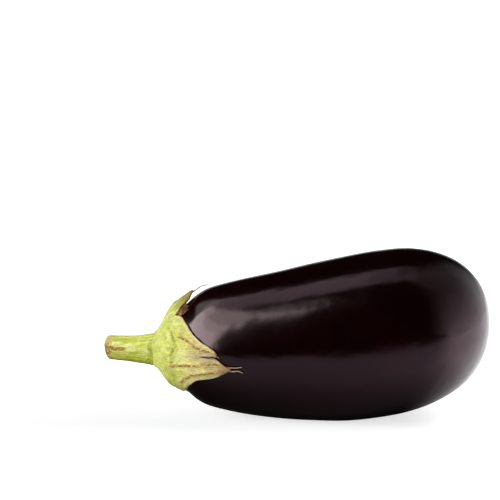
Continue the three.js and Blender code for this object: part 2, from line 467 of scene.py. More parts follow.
def calyx_edge(angle):
    """The reach of the calyx's edge at each angle."""
    order = np.argsort(MERIDIANS[:, 0])
    once = MERIDIANS[order, 0]
    thrice = np.concatenate([once - WHOLE_TURN, once, once + WHOLE_TURN])
    return np.interp(angle, thrice, np.tile(MERIDIANS[order, 1], 3))


def stem_ridges(angle):
    """The soft ridges that run down the stem and into the cap, as a share of the radius."""
    return 0.05 * np.cos(5 * angle + 0.9)


# ---- fruit ----
FRUIT_RINGS = 240
FRUIT_AROUND = 192
SCAR_CENTRE = np.array([BLOSSOM_END_X - 1.2, 7.0, 47.0])
SCAR_STRETCH = (1, 1.3, 1)
SCAR_RADIUS = 3.4
DIMPLE_DEPTH = 0.5
DIMPLE_WIDTH = 4.2
SCAR_RIM_HEIGHT = 0.25
SCAR_RIM_RADIUS = 3.6


def fruit_shape(ring, number):
    share = ring / FRUIT_RINGS
    place = (share + place_at(share * REACHES[-1])) / 2
    angle = WHOLE_TURN * number / FRUIT_AROUND
    skin = skin_point(place, angle)
    normals = skin_normal(place, angle)
    reach = np.interp(place, PLACES, REACHES)
    slow = 0.22 * lumps(skin, 38, 31) + 0.07 * lumps(skin, 14, 32)
    from_scar = np.linalg.norm((skin - SCAR_CENTRE) / SCAR_STRETCH, axis=1)
    scar_edge = SCAR_RADIUS + 0.8 * lumps(skin, 2.5, 33)
    scar_rim = SCAR_RIM_HEIGHT * bell(from_scar, SCAR_RIM_RADIUS, 1.0)
    dimple = scar_rim - DIMPLE_DEPTH * bell(from_scar, 0, DIMPLE_WIDTH)
    off_the_floor = smooth(0, 1.5, skin[:, 2])
    points = skin + normals * ((slow * smooth(0, 12, reach) + dimple) * off_the_floor)[:, None]
    points[:, 2] = np.maximum(points[:, 2], 0)
    values = {
        "from_cap": reach - calyx_edge(angle),
        "scar": smooth(scar_edge, scar_edge - 0.7, from_scar),
    }
    return points, values


AUBERGINE_BLACK = shade(0.0024, 0.0000, 0.0001)
AUBERGINE_WINE = shade(0.0052, 0.0001, 0.0003)
PLUM = shade(0.040, 0.004, 0.012)
UNDER_THE_CAP = shade(0.32, 0.3, 0.16)
SCAR_BROWN = shade(0.10, 0.055, 0.028)
SCAR_TAN = shade(0.27, 0.18, 0.10)
GLOSS_TINT = shade(1, 0.69, 0.8)


def fruit_skin():
    f = Finish("glossy_aubergine_skin")
    place = f.place()
    from_cap = f.attribute("from_cap")
    scar = f.attribute("scar")
    wine = f.ease(f.mottle(place, 18, 3), 0.42, 0.7)
    colour = f.tint(wine, AUBERGINE_BLACK, AUBERGINE_WINE)
    plum_edge = 1 - f.ease(from_cap + f.mottle(place, 260, 2) * 2.4, 0.9, 3.2)
    colour = f.tint(plum_edge, colour, PLUM)
    hidden = 1 - f.ease(from_cap + f.mottle(place, 400, 2), -8, -4)
    colour = f.tint(hidden, colour, UNDER_THE_CAP)
    corky = f.tint(f.ease(f.mottle(place, 900, 4, 0.7), 0.42, 0.62), SCAR_BROWN, SCAR_TAN)
    colour = f.tint(scar, colour, corky)
    strokes = f.mottle(f.stretched(place, (1150, 150, 150)), 1, 4, 0.65)
    strokes = strokes * (f.ease(f.mottle(place, 40, 2), 0.4, 0.65) * 0.7 + 0.4)
    waves = f.mottle(f.stretched(place, (45, 70, 70)), 1, 2, 0.5)
    normal = f.relief(strokes, 0.000033)
    normal = f.relief(waves, 0.0004, under=normal)
    roughness = 0.12 + f.mottle(place, 55, 3) * 0.06 + scar * 0.5
    return f.done(Base_Color=colour, Roughness=roughness, Normal=normal, IOR=1.45, Specular_Tint=GLOSS_TINT)


# ---- calyx ----
CAP_THICK = 2.8
SEPAL_THICK = 1.25
RIM_THICK = 0.75
RIM_BULGE = 0.32
# The fold across the cap, and the lump beside it, as (angle, reach).
CAP_FOLD = [
    (43, 19.2),
    (52.5, 20.8),
    (63, 21.8),
    (72.5, 23.2),
    (80.5, 22.3),
    (87, 20.8),
    (94, 20.6),
    (100, 21.5),
]
CAP_LUMP = (58, 12.5)
# Heights and widths of what stands on the calyx.
RIB_HEIGHT = 0.5
RIB_WIDTH = 1.1
RIB_FOOT_HEIGHT = 0.2
RIB_FOOT_WIDTH = 2.6
FOLD_DEPTH = 0.7
FAINT_FOLD_DEPTH = 0.3
LUMP_HEIGHT = 0.75
LUMP_WIDTH = 1.9
LAP_WIDTH = 2.4
ROLLED_EDGE = 0.22
HOLLOW_DEPTH = 0.9
HOLLOW_ANGLE = 165
HOLLOW_REACH = 13.5
LINE_HEIGHT = 1.8  # above the skin, where distances from the ribs, seams, fold and lump are measured
RIM_HEIGHT = 1.0  # above the skin, where distances from the edge are measured
LINE_POINTS = 160

# Rings of points: over the flat top, down the outside, round the edge, and back up the inside.
COLLAR_RINGS = 8
OUTER_RINGS = 76
RIM_RINGS = 4
INNER_RINGS = 26
CALYX_RINGS = COLLAR_RINGS + OUTER_RINGS + RIM_RINGS + INNER_RINGS

# Unevenness that goes with the angle alone is read on circles of these radii.
EDGE_CIRCLE = 30
FOLD_CIRCLE = 24
FIBRE_CIRCLE = 24
FIBRE_FAN = 5  # times the angle from the sepal's tip, which makes the fibres that much finer


def raised_lines(routes):
    """Closely spaced points on lines that run at the sepals' height."""
    return np.vstack([on_skin(*line_through(route, LINE_POINTS).T, LINE_HEIGHT) for route in routes])


def jagged(points, amount, size, seed):
    return points + amount * np.stack([lumps(points, size, seed + k) for k in range(3)], -1)


def distances_on_calyx(skin, normals):
    """How far each point is from the ribs, the seams, the edge, the fold and the lump."""
    near = skin + normals * LINE_HEIGHT
    ribs = raised_lines([rib for sepal in SEPALS for rib in sepal["ribs"]])
    seams = raised_lines([sepal["seam"] for sepal in SEPALS])
    edge_angle, edge_reach = np.unique(MERIDIANS[:, :2], axis=0).T
    edge = on_skin(np.degrees(edge_angle), edge_reach, RIM_HEIGHT)
    fold = raised_lines([CAP_FOLD])
    lump = on_skin(*np.array([CAP_LUMP]).T, LINE_HEIGHT)
    return {
        "rib": distance_to(jagged(ribs, 0.7, 1.7, 51), near),
        "seam": distance_to(seams, near),
        "rim": distance_to(edge, skin + normals * RIM_HEIGHT),
        "fold": distance_to(jagged(fold, 0.8, 2.2, 61), near),
        "lump": distance_to(lump, near),
    }


def fibre_grain(angle, reach, sepal):
    """A place that changes quickly across the fibres and slowly along them, for the noise that draws them."""
    tip_angle = np.radians(TIP_ANGLE[sepal])
    fan = tip_angle + FIBRE_FAN * (angle - tip_angle)
    return np.stack([FIBRE_CIRCLE * np.cos(fan), FIBRE_CIRCLE * np.sin(fan), reach * 0.1], -1)


def sepal_arch(reach, share, lean, sepal):
    """How far the sepal stands off the fruit."""
    height, start, full, left = ARCH[sepal].T
    rise = smooth(0, 1, (reach - start) / full) * smooth(0, 0.4, share)
    down = smooth(0, 1, (reach - start - full) / (TIP_REACH[sepal] - start - full))
    return height * rise * lean * lerp(1, left, down)


def creases(flat, reach, fold):
    """The crease along the fold, and the fainter one nearer the stem."""
    circle = flat * FOLD_CIRCLE
    along_the_fold = bell(fold, 0, 0.6) * smooth(-0.5, 0, lumps(circle, 2.6, 6))
    faint_reach = 17.6 - 1.8 * lumps(circle, 6, 5)
    faint = bell(reach, faint_reach, 0.8) * smooth(0, 0.5, lumps(circle, 3.2, 8))
    return along_the_fold, faint


def calyx_relief(angle, reach, sepal, skin, grain, folds, away):
    """The height of bumps, fibres, folds, ribs and laps, where away holds the distances on the calyx."""
    rib, seam, rim, fold, lump = (away[name] for name in ("rib", "seam", "rim", "fold", "lump"))
    outer = smooth(15, 23, reach)
    bumps = 0.4 * lumps(skin, 7, 1) + lerp(0.16, 0.26, outer) * lumps(skin, 3, 2)
    bumps = bumps + lerp(0.08, 0.14, outer) * lumps(skin, 1.4, 10)
    fibres = 0.13 * lumps(grain, 1.1, 7) * smooth(16, 24, reach)
    crest = RIB_HEIGHT * bell(rib, 0, RIB_WIDTH) * (0.7 + 0.7 * lumps(skin, 1.5, 54))
    ridge = (crest + RIB_FOOT_HEIGHT * bell(rib, 0, RIB_FOOT_WIDTH)) * smooth(14, 22, reach)
    lap = LAP[sepal] * bell(seam, 0, LAP_WIDTH) * smooth(35, 41, reach)
    hollow = HOLLOW_DEPTH * bell(np.degrees(angle), HOLLOW_ANGLE, 32) * bell(reach, HOLLOW_REACH, 4.5)
    bulge = LUMP_HEIGHT * bell(lump, 0, LUMP_WIDTH) + 0.35 * bell(fold, 1.5, 0.8)
    rolled = ROLLED_EDGE * bell(rim, 0.9, 0.8)
    return (bumps + fibres - folds) * smooth(0.0, 1.6, rim) + ridge + rolled + lap - hollow + bulge


def calyx_shape(ring, number):
    angle, edge, share, _, lean = MERIDIANS[number].T
    sepal = SEPAL_OF[number]
    collar = ring < COLLAR_RINGS
    _, outside, round_edge, inside = shares_of(ring, COLLAR_RINGS, OUTER_RINGS, RIM_RINGS, INNER_RINGS)
    rim_turn = round_edge * math.pi
    level = 0.5 + 0.5 * np.cos(rim_turn)
    flat = np.stack([np.cos(angle), np.sin(angle), 0 * angle], -1)

    ragged = lumps(flat * EDGE_CIRCLE, 3.5, 3) * 0.4 + lumps(flat * EDGE_CIRCLE, 1.2, 4) * 0.2
    edge = edge + ragged * smooth(0, 0.25, share) * smooth(1, 0.85, share)
    reach = lerp(CAP_START, edge, outside) * (1 - inside) + RIM_BULGE * np.sin(rim_turn)
    place = place_at(reach)
    skin = skin_point(place, angle)
    normals = skin_normal(place, angle)
    away = distances_on_calyx(skin, normals)
    rim = away["rim"]

    grain = fibre_grain(angle, reach, sepal)
    crease, faint = creases(flat, reach, away["fold"])
    folds = FOLD_DEPTH * crease + FAINT_FOLD_DEPTH * faint
    relief = calyx_relief(angle, reach, sepal, skin, grain, folds, away)
    flesh = lerp(CAP_THICK, SEPAL_THICK, smooth(10, 30, reach))
    body = lerp(flesh, RIM_THICK, smooth(3.2, 0, rim) * smooth(12, 18, reach))
    ridges = COLLAR_RADIUS * stem_ridges(angle) * smooth(13, 9, reach)
    curled = smooth(2.5, 0, rim) * (0.12 + 0.3 * lumps(flat * EDGE_CIRCLE, 5, 9))
    lift = GAP + sepal_arch(reach, share, lean, sepal) + curled
    points = skin + normals * (lift + level * (body + ridges + relief * smooth(8.4, 12, reach)))[:, None]

    radius = COLLAR_RADIUS * ring / (COLLAR_RINGS - 1) * (1 + stem_ridges(angle))
    top = np.stack([COLLAR_X + 0 * radius, -radius * np.sin(angle), NECK_HEIGHT + radius * np.cos(angle)], -1)
    points = np.where(collar[:, None], top, points)
    points[ring == CALYX_RINGS] = (FRUIT_TOP_X - GAP, 0, NECK_HEIGHT)
    values = {
        "grain": grain,
        "rib": away["rib"],
        "rim": rim,
        "seam": away["seam"],
        "reach": np.where(collar, radius, reach),
        "tip": smooth(0, 1, 1 - (TIP_REACH[sepal] - reach) / DRY_PART[sepal]) * (1 - collar),
        "inside": smooth(0.1, 1, round_edge),
        "crease": np.clip(crease + 0.6 * faint, 0, 1) * (1 - collar),
        "lump": bell(away["lump"], 0, 1.6),
        "uppermost": (sepal == TOP_SEPAL) * smooth(0, 0.3, share) * smooth(20, 28, reach),
    }
    return points, values


YELLOW_GREEN = shade(0.80, 0.84, 0.155)
PALE_LIME = shade(0.94, 0.96, 0.36)
LEAF_GREEN = shade(0.46, 0.51, 0.05)
FOLD_SHADE_GREEN = shade(0.28, 0.29, 0.02)
LUMP_HIGHLIGHT_LIME = shade(0.97, 0.98, 0.5)
OCHRE = shade(0.42, 0.27, 0.05)
SHADED_DRY_OLIVE = shade(0.36, 0.33, 0.025)
TIP_OLIVE = shade(0.23, 0.165, 0.012)
STRAW = shade(0.73, 0.60, 0.25)
CREAM = shade(0.92, 0.76, 0.36)
LILAC_GREY = shade(0.36, 0.27, 0.21)
RIB_BROWN = shade(0.27, 0.15, 0.03)
RIB_GOLD = shade(0.68, 0.45, 0.12)
SLIT_SHADOW_BLACK = shade(0.035, 0.02, 0.02)
TAN = shade(0.42, 0.26, 0.13)
DRY_BROWN = shade(0.16, 0.07, 0.04)


def calyx_finish():
    f = Finish("green_calyx")
    place = f.place()
    grain = f.direction("grain")
    reach, rib, rim, seam = (f.attribute(name) for name in ("reach", "rib", "rim", "seam"))
    tip, inside, crease = (f.attribute(name) for name in ("tip", "inside", "crease"))
    patches = f.mottle(place, 150, 4, 0.6)
    blotches = f.mottle(place, 330, 3, 0.6)
    specks = f.mottle(place, 720, 4, 0.75)
    fibres = f.mottle(f.stretched(grain, (0.8, 0.8, 0.7)), 1.0, 4, 0.7)

    colour = f.tint(f.ease(patches + specks * 0.5, 0.6, 0.95), YELLOW_GREEN, PALE_LIME)
    green = f.ease(f.mottle(place, 90, 3, 0.6) + specks * 0.5, 0.7, 0.98)
    colour = f.tint(green * (f.ease(reach, 14, 22) * 0.3 + 0.3), colour, LEAF_GREEN)
    colour = f.tint(f.ease(blotches, 0.52, 0.66) * 0.5, colour, LEAF_GREEN)
    # Along the folds: painted shade, a darker green in the creases, mixed with real ochre flecks.
    ochre = f.ease(blotches + specks * 0.4, 0.55, 0.8)
    colour = f.tint(crease * (ochre * 0.35 + 0.5), colour, f.tint(ochre, FOLD_SHADE_GREEN, OCHRE))
    # Painted highlight: the lump beside the fold lighter, a near-white lime.
    colour = f.tint(f.attribute("lump") * 0.8, colour, LUMP_HIGHLIGHT_LIME)
    outward = f.ease(reach + patches * 14, 28, 44)
    colour = f.tint(outward * 0.75, colour, STRAW)
    colour = f.tint(outward * f.ease(fibres, 0.52, 0.62) * 0.6, colour, CREAM)
    by_the_seam = 1 - f.ease(seam + patches * 6, 4.5, 8.5)
    dusty = f.ease(fibres + specks * 0.5, 0.6, 0.9) * 0.5 + 0.2
    colour = f.tint(by_the_seam * f.ease(reach, 24, 38) * dusty, colour, LILAC_GREY)
    dull = f.ease(reach + patches * 40, 56, 66) * f.ease(fibres + blotches * 0.4, 0.80, 0.6)
    colour = f.tint(dull * 0.7, colour, LILAC_GREY)
    near_rib = (1 - f.ease(rib + specks * 1.4, 1.2, 2.2)) * f.ease(reach, 15, 22)
    colour = f.tint(near_rib * 0.7, colour, RIB_GOLD)
    broken = f.ease(f.mottle(place, 560, 2, 0.6), 0.36, 0.5)
    streak = (1 - f.ease(rib + blotches * 0.9, 0.7, 1.2)) * broken * f.ease(reach, 18, 27)
    colour = f.tint(streak * 0.95, colour, RIB_BROWN)
    at_the_rim = (1 - f.ease(rim, 0.4, 1.6)) * f.ease(reach, 15, 22) * f.ease(seam, 1, 3)
    colour = f.tint(at_the_rim * 0.8, colour, CREAM)
    # Painted shadow: near black in the slit where two sepals meet, out towards their tips.
    slit_shadow = (1 - f.ease(seam + specks * 0.5, 0.6, 1.1)) * f.ease(reach, 38, 42)
    colour = f.tint(slit_shadow * 0.9, colour, SLIT_SHADOW_BLACK)
    colour = f.tint(f.ease(tip + specks * 0.7, 0.5, 1.1) * 0.85, colour, TAN)
    colour = f.tint(f.ease(tip + specks * 0.3, 1.02, 1.2), colour, DRY_BROWN)
    # Painted shade on the top sepal: darker olive all over, as it gets less light; towards its tip, real
    # drying to a browner olive.
    shade_and_drying = f.tint(f.ease(reach + specks * 2, 27, 35), SHADED_DRY_OLIVE, TIP_OLIVE)
    colour = f.tint(f.attribute("uppermost") * (f.ease(fibres, 0.44, 0.58) * 0.35 + 0.65), colour, shade_and_drying)
    specky = f.ease(f.mottle(place, 520, 3, 0.7), 0.57, 0.66) * f.ease(f.mottle(place, 170, 2), 0.42, 0.6)
    colour = f.tint(specky * f.ease(reach, 12, 16) * 0.6, colour, OCHRE)
    colour = f.grained(colour, f.stretched(grain, (1.4, 1.4, 2.8)), 0.52)
    colour = f.tint(inside, colour, f.tint(f.ease(fibres, 0.4, 0.6), DRY_BROWN, TAN))

    normal = f.relief(specks, 0.0010)
    normal = f.relief(fibres, 0.0006, under=normal)
    return f.done(Base_Color=colour, Roughness=0.34 + patches * 0.2, Normal=normal, IOR=1.42)


# ---- stem ----
STEM_LENGTH = 26.4
STEM_RADIUS = 6.4
STEM_FOOT_RADIUS = 8.4
STEM_BEND = math.radians(12)
STEM_RISE = 0.7
ARC_RADIUS = (STEM_LENGTH - GAP - STEM_RADIUS * math.sin(STEM_BEND)) / math.sin(STEM_BEND)
CUT_ROUNDING = 3.1
CUT_SLANT = 0.6
FOOT_SHARE = -0.09  # of its length, how far below the collar the stem goes on
FOOT_LIP = 0.25
FOOT_LIP_LENGTH = 0.9
TUBE_LENGTH = 4  # of the short tube on which the stem's unevenness is read, so that it is drawn out
PAST_THE_FACE = 2.0  # what the finish reads where there is no cut face

STEM_AROUND = 160
# Rings of points: over the cut face, round its edge, down the stem, and closing its foot.
CUT_RINGS = 22
ROUNDING_RINGS = 8
LENGTH_RINGS = 90
FOOT_RINGS = 6
STEM_RINGS = CUT_RINGS + ROUNDING_RINGS + LENGTH_RINGS + FOOT_RINGS


def stem_shape(ring, number):
    angle = WHOLE_TURN * number / STEM_AROUND
    cut_share, rounded, down, foot = shares_of(ring, CUT_RINGS, ROUNDING_RINGS, LENGTH_RINGS, FOOT_RINGS)
    round_turn = rounded * math.pi / 2
    rounding = CUT_ROUNDING / STEM_LENGTH
    at_the_cut = 1 - rounding * (1 - np.cos(round_turn))
    share = np.where(down > 0, lerp(1 - rounding, FOOT_SHARE, down), at_the_cut)
    inset = np.where(down > 0, 0, CUT_ROUNDING * (1 - np.sin(round_turn)))

    turned = STEM_BEND * share
    centre = np.stack(
        [
            COLLAR_X - GAP - ARC_RADIUS * np.sin(turned),
            ARC_RADIUS * (1 - np.cos(turned)),
            NECK_HEIGHT + STEM_RISE * smooth(0, 1, share),
        ],
        -1,
    )
    sideways = np.stack([-np.sin(turned), -np.cos(turned), 0 * share], -1)
    up = np.array([0.0, 0.0, 1.0])
    tube = np.stack([STEM_RADIUS * np.cos(angle), STEM_RADIUS * np.sin(angle), share * TUBE_LENGTH], -1)
    coarse = stem_ridges(angle) * (1 - 0.5 * share)
    fine = (0.024 * lumps(tube, 1.5, 11) + 0.018 * lumps(tube * (1, 1, 3), 3, 12)) * smooth(0, 0.1, share)
    knobs = 0.026 * lumps(tube * (1, 1, 6), 2.2, 13) * smooth(0.75, 1, share)
    from_collar = np.maximum(share * STEM_LENGTH, 0)
    spread = (STEM_FOOT_RADIUS - STEM_RADIUS) * (1 - np.clip(share, 0, 1)) ** 2
    radius = STEM_RADIUS + spread + FOOT_LIP * np.exp(-from_collar / FOOT_LIP_LENGTH)
    out = (radius * (1 + coarse + fine + knobs) - inset) * cut_share * (1 - foot)
    points = centre + sideways * (out * np.sin(angle))[:, None] + up * (out * np.cos(angle))[:, None]

    bark_ring = 0.35 * bell(cut_share, 0.72, 0.1)
    sunken_pith = 0.35 * smooth(0.45, 0.1, cut_share)
    face = 0.6 * smooth(1, 0.9, cut_share) * (0.25 * lumps(points, 1.4, 14) + bark_ring - sunken_pith)
    slanted = CUT_SLANT * np.cos(angle) * smooth(0.8, 1, share) * cut_share
    ahead = np.stack([-np.cos(turned), np.sin(turned), 0 * share], -1)
    points = points + ahead * (face + slanted)[:, None]
    values = {
        "tube": tube,
        "up_the_stem": share,
        "cut": np.where(ring <= CUT_RINGS, cut_share, PAST_THE_FACE),
        "turn": (angle + math.pi) % WHOLE_TURN - math.pi,
    }
    return points, values


JOINT_SHADE_OLIVE = shade(0.25, 0.28, 0.003)
STEM_HIGHLIGHT = shade(1.0, 1.0, 0.5)
STEM_YELLOW = shade(0.84, 0.72, 0.26)
STEM_DULL = shade(0.4, 0.42, 0.04)
CUT_BROWN = shade(0.42, 0.25, 0.06)
STREAK_BROWN = shade(0.25, 0.13, 0.02)
SPECK_BROWN = shade(0.26, 0.135, 0.03)
CORK = shade(0.34, 0.18, 0.06)
# The cut face: shares of the way from its middle to its edge, with their colours.
CUT_FACE = [
    (0.0, shade(0.5, 0.46, 0.25)),
    (0.5, shade(0.46, 0.42, 0.2)),
    (0.62, shade(0.66, 0.58, 0.36)),
    (0.82, shade(0.62, 0.5, 0.28)),
    (0.92, shade(0.36, 0.24, 0.1)),
    (1.0, shade(0.3, 0.17, 0.07)),
]
# Angles round the stem in radians, as its finish reads them.
HIGHLIGHT_SIDE = 1.2
CREASED_SIDE = 1.25
STREAK_SIDE = 1.42
SHADED_SIDE = 2.3


def stem_finish():
    f = Finish("green_stem")
    place = f.place()
    tube = f.direction("tube")
    up, cut, turn = (f.attribute(name) for name in ("up_the_stem", "cut", "turn"))
    lines = f.mottle(f.stretched(tube, (0.75, 0.75, 0.35)), 1, 3, 0.65)
    patches = f.mottle(place, 200, 3, 0.6)
    blotches = f.mottle(place, 330, 3, 0.6)
    specks = f.mottle(place, 800, 3, 0.7)

    colour = f.tint(f.ease(patches, 0.46, 0.7), YELLOW_GREEN, PALE_LIME)
    colour = f.tint(f.ease(lines, 0.42, 0.6) * 0.95, colour, LEAF_GREEN)
    colour = f.tint(f.ease(abs(turn - SHADED_SIDE), 0.95, 0.4) * 0.8, colour, LEAF_GREEN)
    # Painted highlight: near-white patches on the side of the stem that faces the light.
    bright = f.ease(patches + lines * 0.25, 0.56, 0.72) * (1 - f.ease(abs(turn - HIGHLIGHT_SIDE), 0.25, 0.6))
    colour = f.tint(bright * 0.85, colour, STEM_HIGHLIGHT)
    # Painted shade: darker olive in the crease where the stem meets the cap, most on its front side.
    from_joint = abs(up + patches * 0.05 - 0.065)
    in_front = 1 - f.ease(abs(turn - CREASED_SIDE), 0.2, 0.65)
    crease = (1 - f.ease(from_joint, 0.02, 0.065)) * (in_front * 0.65 + f.ease(blotches, 0.42, 0.6) * 0.3)
    colour = f.tint(crease, colour, JOINT_SHADE_OLIVE)
    yellowed = f.ease(up + patches * 0.3, 0.9, 1.15)
    colour = f.tint(yellowed * 0.75, colour, STEM_YELLOW)
    around = abs(turn - STREAK_SIDE)
    halo = (1 - f.ease(around, 0.2, 0.6)) * f.ease(up + patches * 0.2, 0.6, 0.85)
    colour = f.tint(halo * 0.6, colour, STEM_YELLOW)
    colour = f.tint(0.34, colour, STEM_DULL)
    near_cut = f.ease(up + blotches * 0.4 + specks * 0.6, 1.33, 1.43)
    colour = f.tint(near_cut * 0.65, colour, CUT_BROWN)
    streak = 1 - f.ease(around + patches * 0.5 + specks * 0.4, 0.54, 0.68)
    streak = streak * f.ease(up + blotches * 0.2, 0.58, 0.72) * f.ease(specks, 0.36, 0.48)
    colour = f.tint(streak * 0.9, colour, STREAK_BROWN)
    browned = (1 - f.ease(around + blotches * 0.8, 0.75, 1.0)) * f.ease(up + specks * 0.8, 1.19, 1.29)
    colour = f.tint(browned * 0.8, colour, SPECK_BROWN)
    colour = f.tint(f.ease(up + specks * 0.1, 1.015, 1.05), colour, CORK)
    colour = f.grained(colour, f.stretched(tube, (1.3, 1.3, 1.7)), 0.26)
    face = f.add("ValToRGB", {"stops": CUT_FACE}, {"Fac": cut + specks * 0.08 - 0.04}, "Color")
    colour = f.tint(1 - f.ease(cut, 0.97, 1.2), colour, face)

    normal = f.relief(specks, 0.0010)
    normal = f.relief(lines, 0.0008, under=normal)
    return f.done(Base_Color=colour, Roughness=0.36 + patches * 0.2, Normal=normal, IOR=1.38)


# ---- dry threads at the sepals' tips ----
# Each as points of (angle, reach, height above the skin), with its thickness at its start.
THREADS = {
    "thread_top": (
        [(-8, 33, 2.7), (-8.5, 36, 2.5), (-11, 39.5, 2.6), (-11, 42.5, 2.0), (-14, 44.8, 1.9)],
        1.2,
    ),
    "thread_side_upper": ([(96.8, 52, 1.5), (96.2, 55.2, 1.4), (95.9, 58.5, 1.6), (95.1, 61.6, 1.4)], 0.8),
    "thread_side_lower": ([(99, 53, 1.4), (99.4, 56.4, 1.3), (98.6, 59.4, 1.5), (100.3, 61.9, 1.1)], 0.8),
    "thread_slit": ([(86.4, 46.2, 1.6), (87.2, 48.2, 1.4), (88.4, 49.3, 0.9)], 0.9),
    "thread_low": ([(214, 45.5, 1.9), (214.4, 48.6, 1.8), (215.5, 51.5, 1.5)], 0.9),
    "thread_far": ([(283, 43.5, 2.2), (282.6, 46.5, 2.1), (281.5, 49.5, 1.8)], 0.9),
}
THREAD_RINGS = 48
THREAD_AROUND = 12
THREAD_FLATNESS = 0.7
THREAD_END_SHARE = 0.38  # of its thickness, what is left before its end


def thread_shape(route, thickness):
    angle, reach, height = line_through(route, THREAD_RINGS + 1).T
    spine = on_skin(angle, reach, height)
    along = np.gradient(spine, axis=0)
    along /= np.linalg.norm(along, axis=1, keepdims=True)
    out = skin_normal(place_at(reach), np.radians(angle))
    side = np.cross(along, out)
    side /= np.linalg.norm(side, axis=1, keepdims=True)
    out = np.cross(side, along)

    def shape(ring, number):
        share = ring / THREAD_RINGS
        turn = WHOLE_TURN * number / THREAD_AROUND
        ends = np.sqrt(np.clip(1 - share**12, 0, 1)) * smooth(-0.02, 0.06, share)
        kinks = 1 + 0.22 * lumps(np.stack([share * 9, share * 0, share * 0], -1), 1, 21)
        radius = 0.5 * thickness * lerp(1, THREAD_END_SHARE, share) * ends * kinks
        points = spine[ring] + side[ring] * (radius * np.cos(turn))[:, None]
        points = points + out[ring] * (THREAD_FLATNESS * radius * np.sin(turn))[:, None]
        return points, {"along": share}

    return shape


THREAD_TAN = shade(0.42, 0.30, 0.17)
THREAD_BROWN = shade(0.2, 0.11, 0.06)
THREAD_BLEACHED = shade(0.55, 0.46, 0.33)


def dry_finish():
    f = Finish("dry_sepal_thread")
    specks = f.mottle(f.place(), 900, 3, 0.7)
    colour = f.tint(f.ease(specks, 0.35, 0.65), THREAD_TAN, THREAD_BROWN)
    colour = f.tint(f.ease(f.attribute("along"), 0.5, 1.0) * 0.6, colour, THREAD_BLEACHED)
    return f.done(Base_Color=colour, Roughness=0.7, Normal=f.relief(specks, 0.0001), IOR=1.4)


# ---- the dried shred between the two upper sepals ----
SHRED_RINGS = 60
SHRED_AROUND = 72
SHRED_ANGLE = 13  # its middle and its half width, in degrees
SHRED_HALF_ANGLE = 15
SHRED_REACH = 24.6
SHRED_HALF_REACH = 5.6
SHRED_THICK = 0.28
SHRED_SLANT = 0.11  # how much further it reaches for each degree
MM_PER_DEGREE = 0.45  # along the skin, where the shred lies


def shred_shape(ring, number):
    """A thin ragged web on the skin, from under the notch outwards."""
    turn = WHOLE_TURN * number / SHRED_AROUND
    across = np.minimum(ring, SHRED_RINGS - ring) / (SHRED_RINGS / 2)
    upper = ring < SHRED_RINGS / 2
    flat = np.stack([np.cos(turn) * 3, np.sin(turn) * 3, 0 * turn], -1)
    out = np.sqrt(across) * (1 + 0.45 * lumps(flat, 1.6, 41) + 0.4 * lumps(flat, 0.55, 42))
    angle = SHRED_ANGLE + SHRED_HALF_ANGLE * out * np.sin(turn)
    reach = SHRED_REACH + SHRED_HALF_REACH * out * np.cos(turn) + SHRED_SLANT * (angle - 15)
    spot = np.stack([angle * MM_PER_DEGREE, reach, 0 * turn], -1)
    height = 0.9 + 1.3 * smooth(16, 2, angle) * smooth(20, 25, reach) + 0.3 * np.cos(angle * 1.1)
    height = height + 0.5 * lumps(spot, 1.5, 43) + 0.3 * lumps(spot, 0.7, 44)
    thick = SHRED_THICK * (1 - across**3)
    return on_skin(angle, reach, height + np.where(upper, thick, -thick)), {"along": smooth(24.5, 29, reach)}


WEB_DARK = shade(0.06, 0.023, 0.008)
WEB_BROWN = shade(0.30, 0.15, 0.06)
WEB_SHADOW_END = shade(0.045, 0.018, 0.008)


def shred_finish():
    f = Finish("dried_brown_web")
    strands = f.mottle(f.stretched(f.place(), (260, 260, 420)), 1, 4, 0.7)
    colour = f.tint(f.ease(strands, 0.48, 0.6), WEB_DARK, WEB_BROWN)
    # Painted shadow: the web darker out towards its far end.
    colour = f.tint(f.attribute("along") * 0.75, colour, WEB_SHADOW_END)
    return f.done(Base_Color=colour, Roughness=0.8, Normal=f.relief(strands, 0.0012), IOR=1.3)


# ---- all the pieces ----
make_piece("fruit_skin", FRUIT_RINGS, FRUIT_AROUND, fruit_shape, fruit_skin(), "fruit")
make_piece("calyx_cap", CALYX_RINGS, len(MERIDIANS), calyx_shape, calyx_finish(), "calyx")
make_piece("stem_cut", STEM_RINGS, STEM_AROUND, stem_shape, stem_finish(), "stem")
dry = dry_finish()
for name, (route, thickness) in THREADS.items():
    make_piece(name, THREAD_RINGS, THREAD_AROUND, thread_shape(route, thickness), dry)
make_piece("dried_shred", SHRED_RINGS, SHRED_AROUND, shred_shape, shred_finish())

# ---- floor and backdrop ----
# Sizes and places from here on are in metres.
FLOOR_HALF_WIDTH = 9
BACKDROP_RADIUS = 8
MIRRORED_HEIGHT = 0.0003
FLOOR_GREY = shade(0.6, 0.6, 0.6)
MIRRORED_DARK = shade(0.02, 0.02, 0.02)
MIRRORED_BLUISH = shade(0.48, 0.5, 0.54)
MIRRORED_PALE = shade(0.62, 0.62, 0.66)


def hide_from(thing, *kinds):
    """Keeps a thing from being seen by rays of these kinds."""
    for kind in kinds:
        setattr(thing, "visible_" + kind, False)


def make_flat(name, height, finish):
    bm = bmesh.new()
    bmesh.ops.create_grid(bm, x_segments=2, y_segments=2, size=FLOOR_HALF_WIDTH)
    bmesh.ops.translate(bm, verts=bm.verts, vec=(0, 0, height))
    flat = add_object(name, bm, finish)
    return flat


def pale_floor():
    f = Finish("pale_floor")
    return f.done(Base_Color=FLOOR_GREY, Specular_IOR_Level=0, Emission_Color=WHITE, Emission_Strength=0.7)


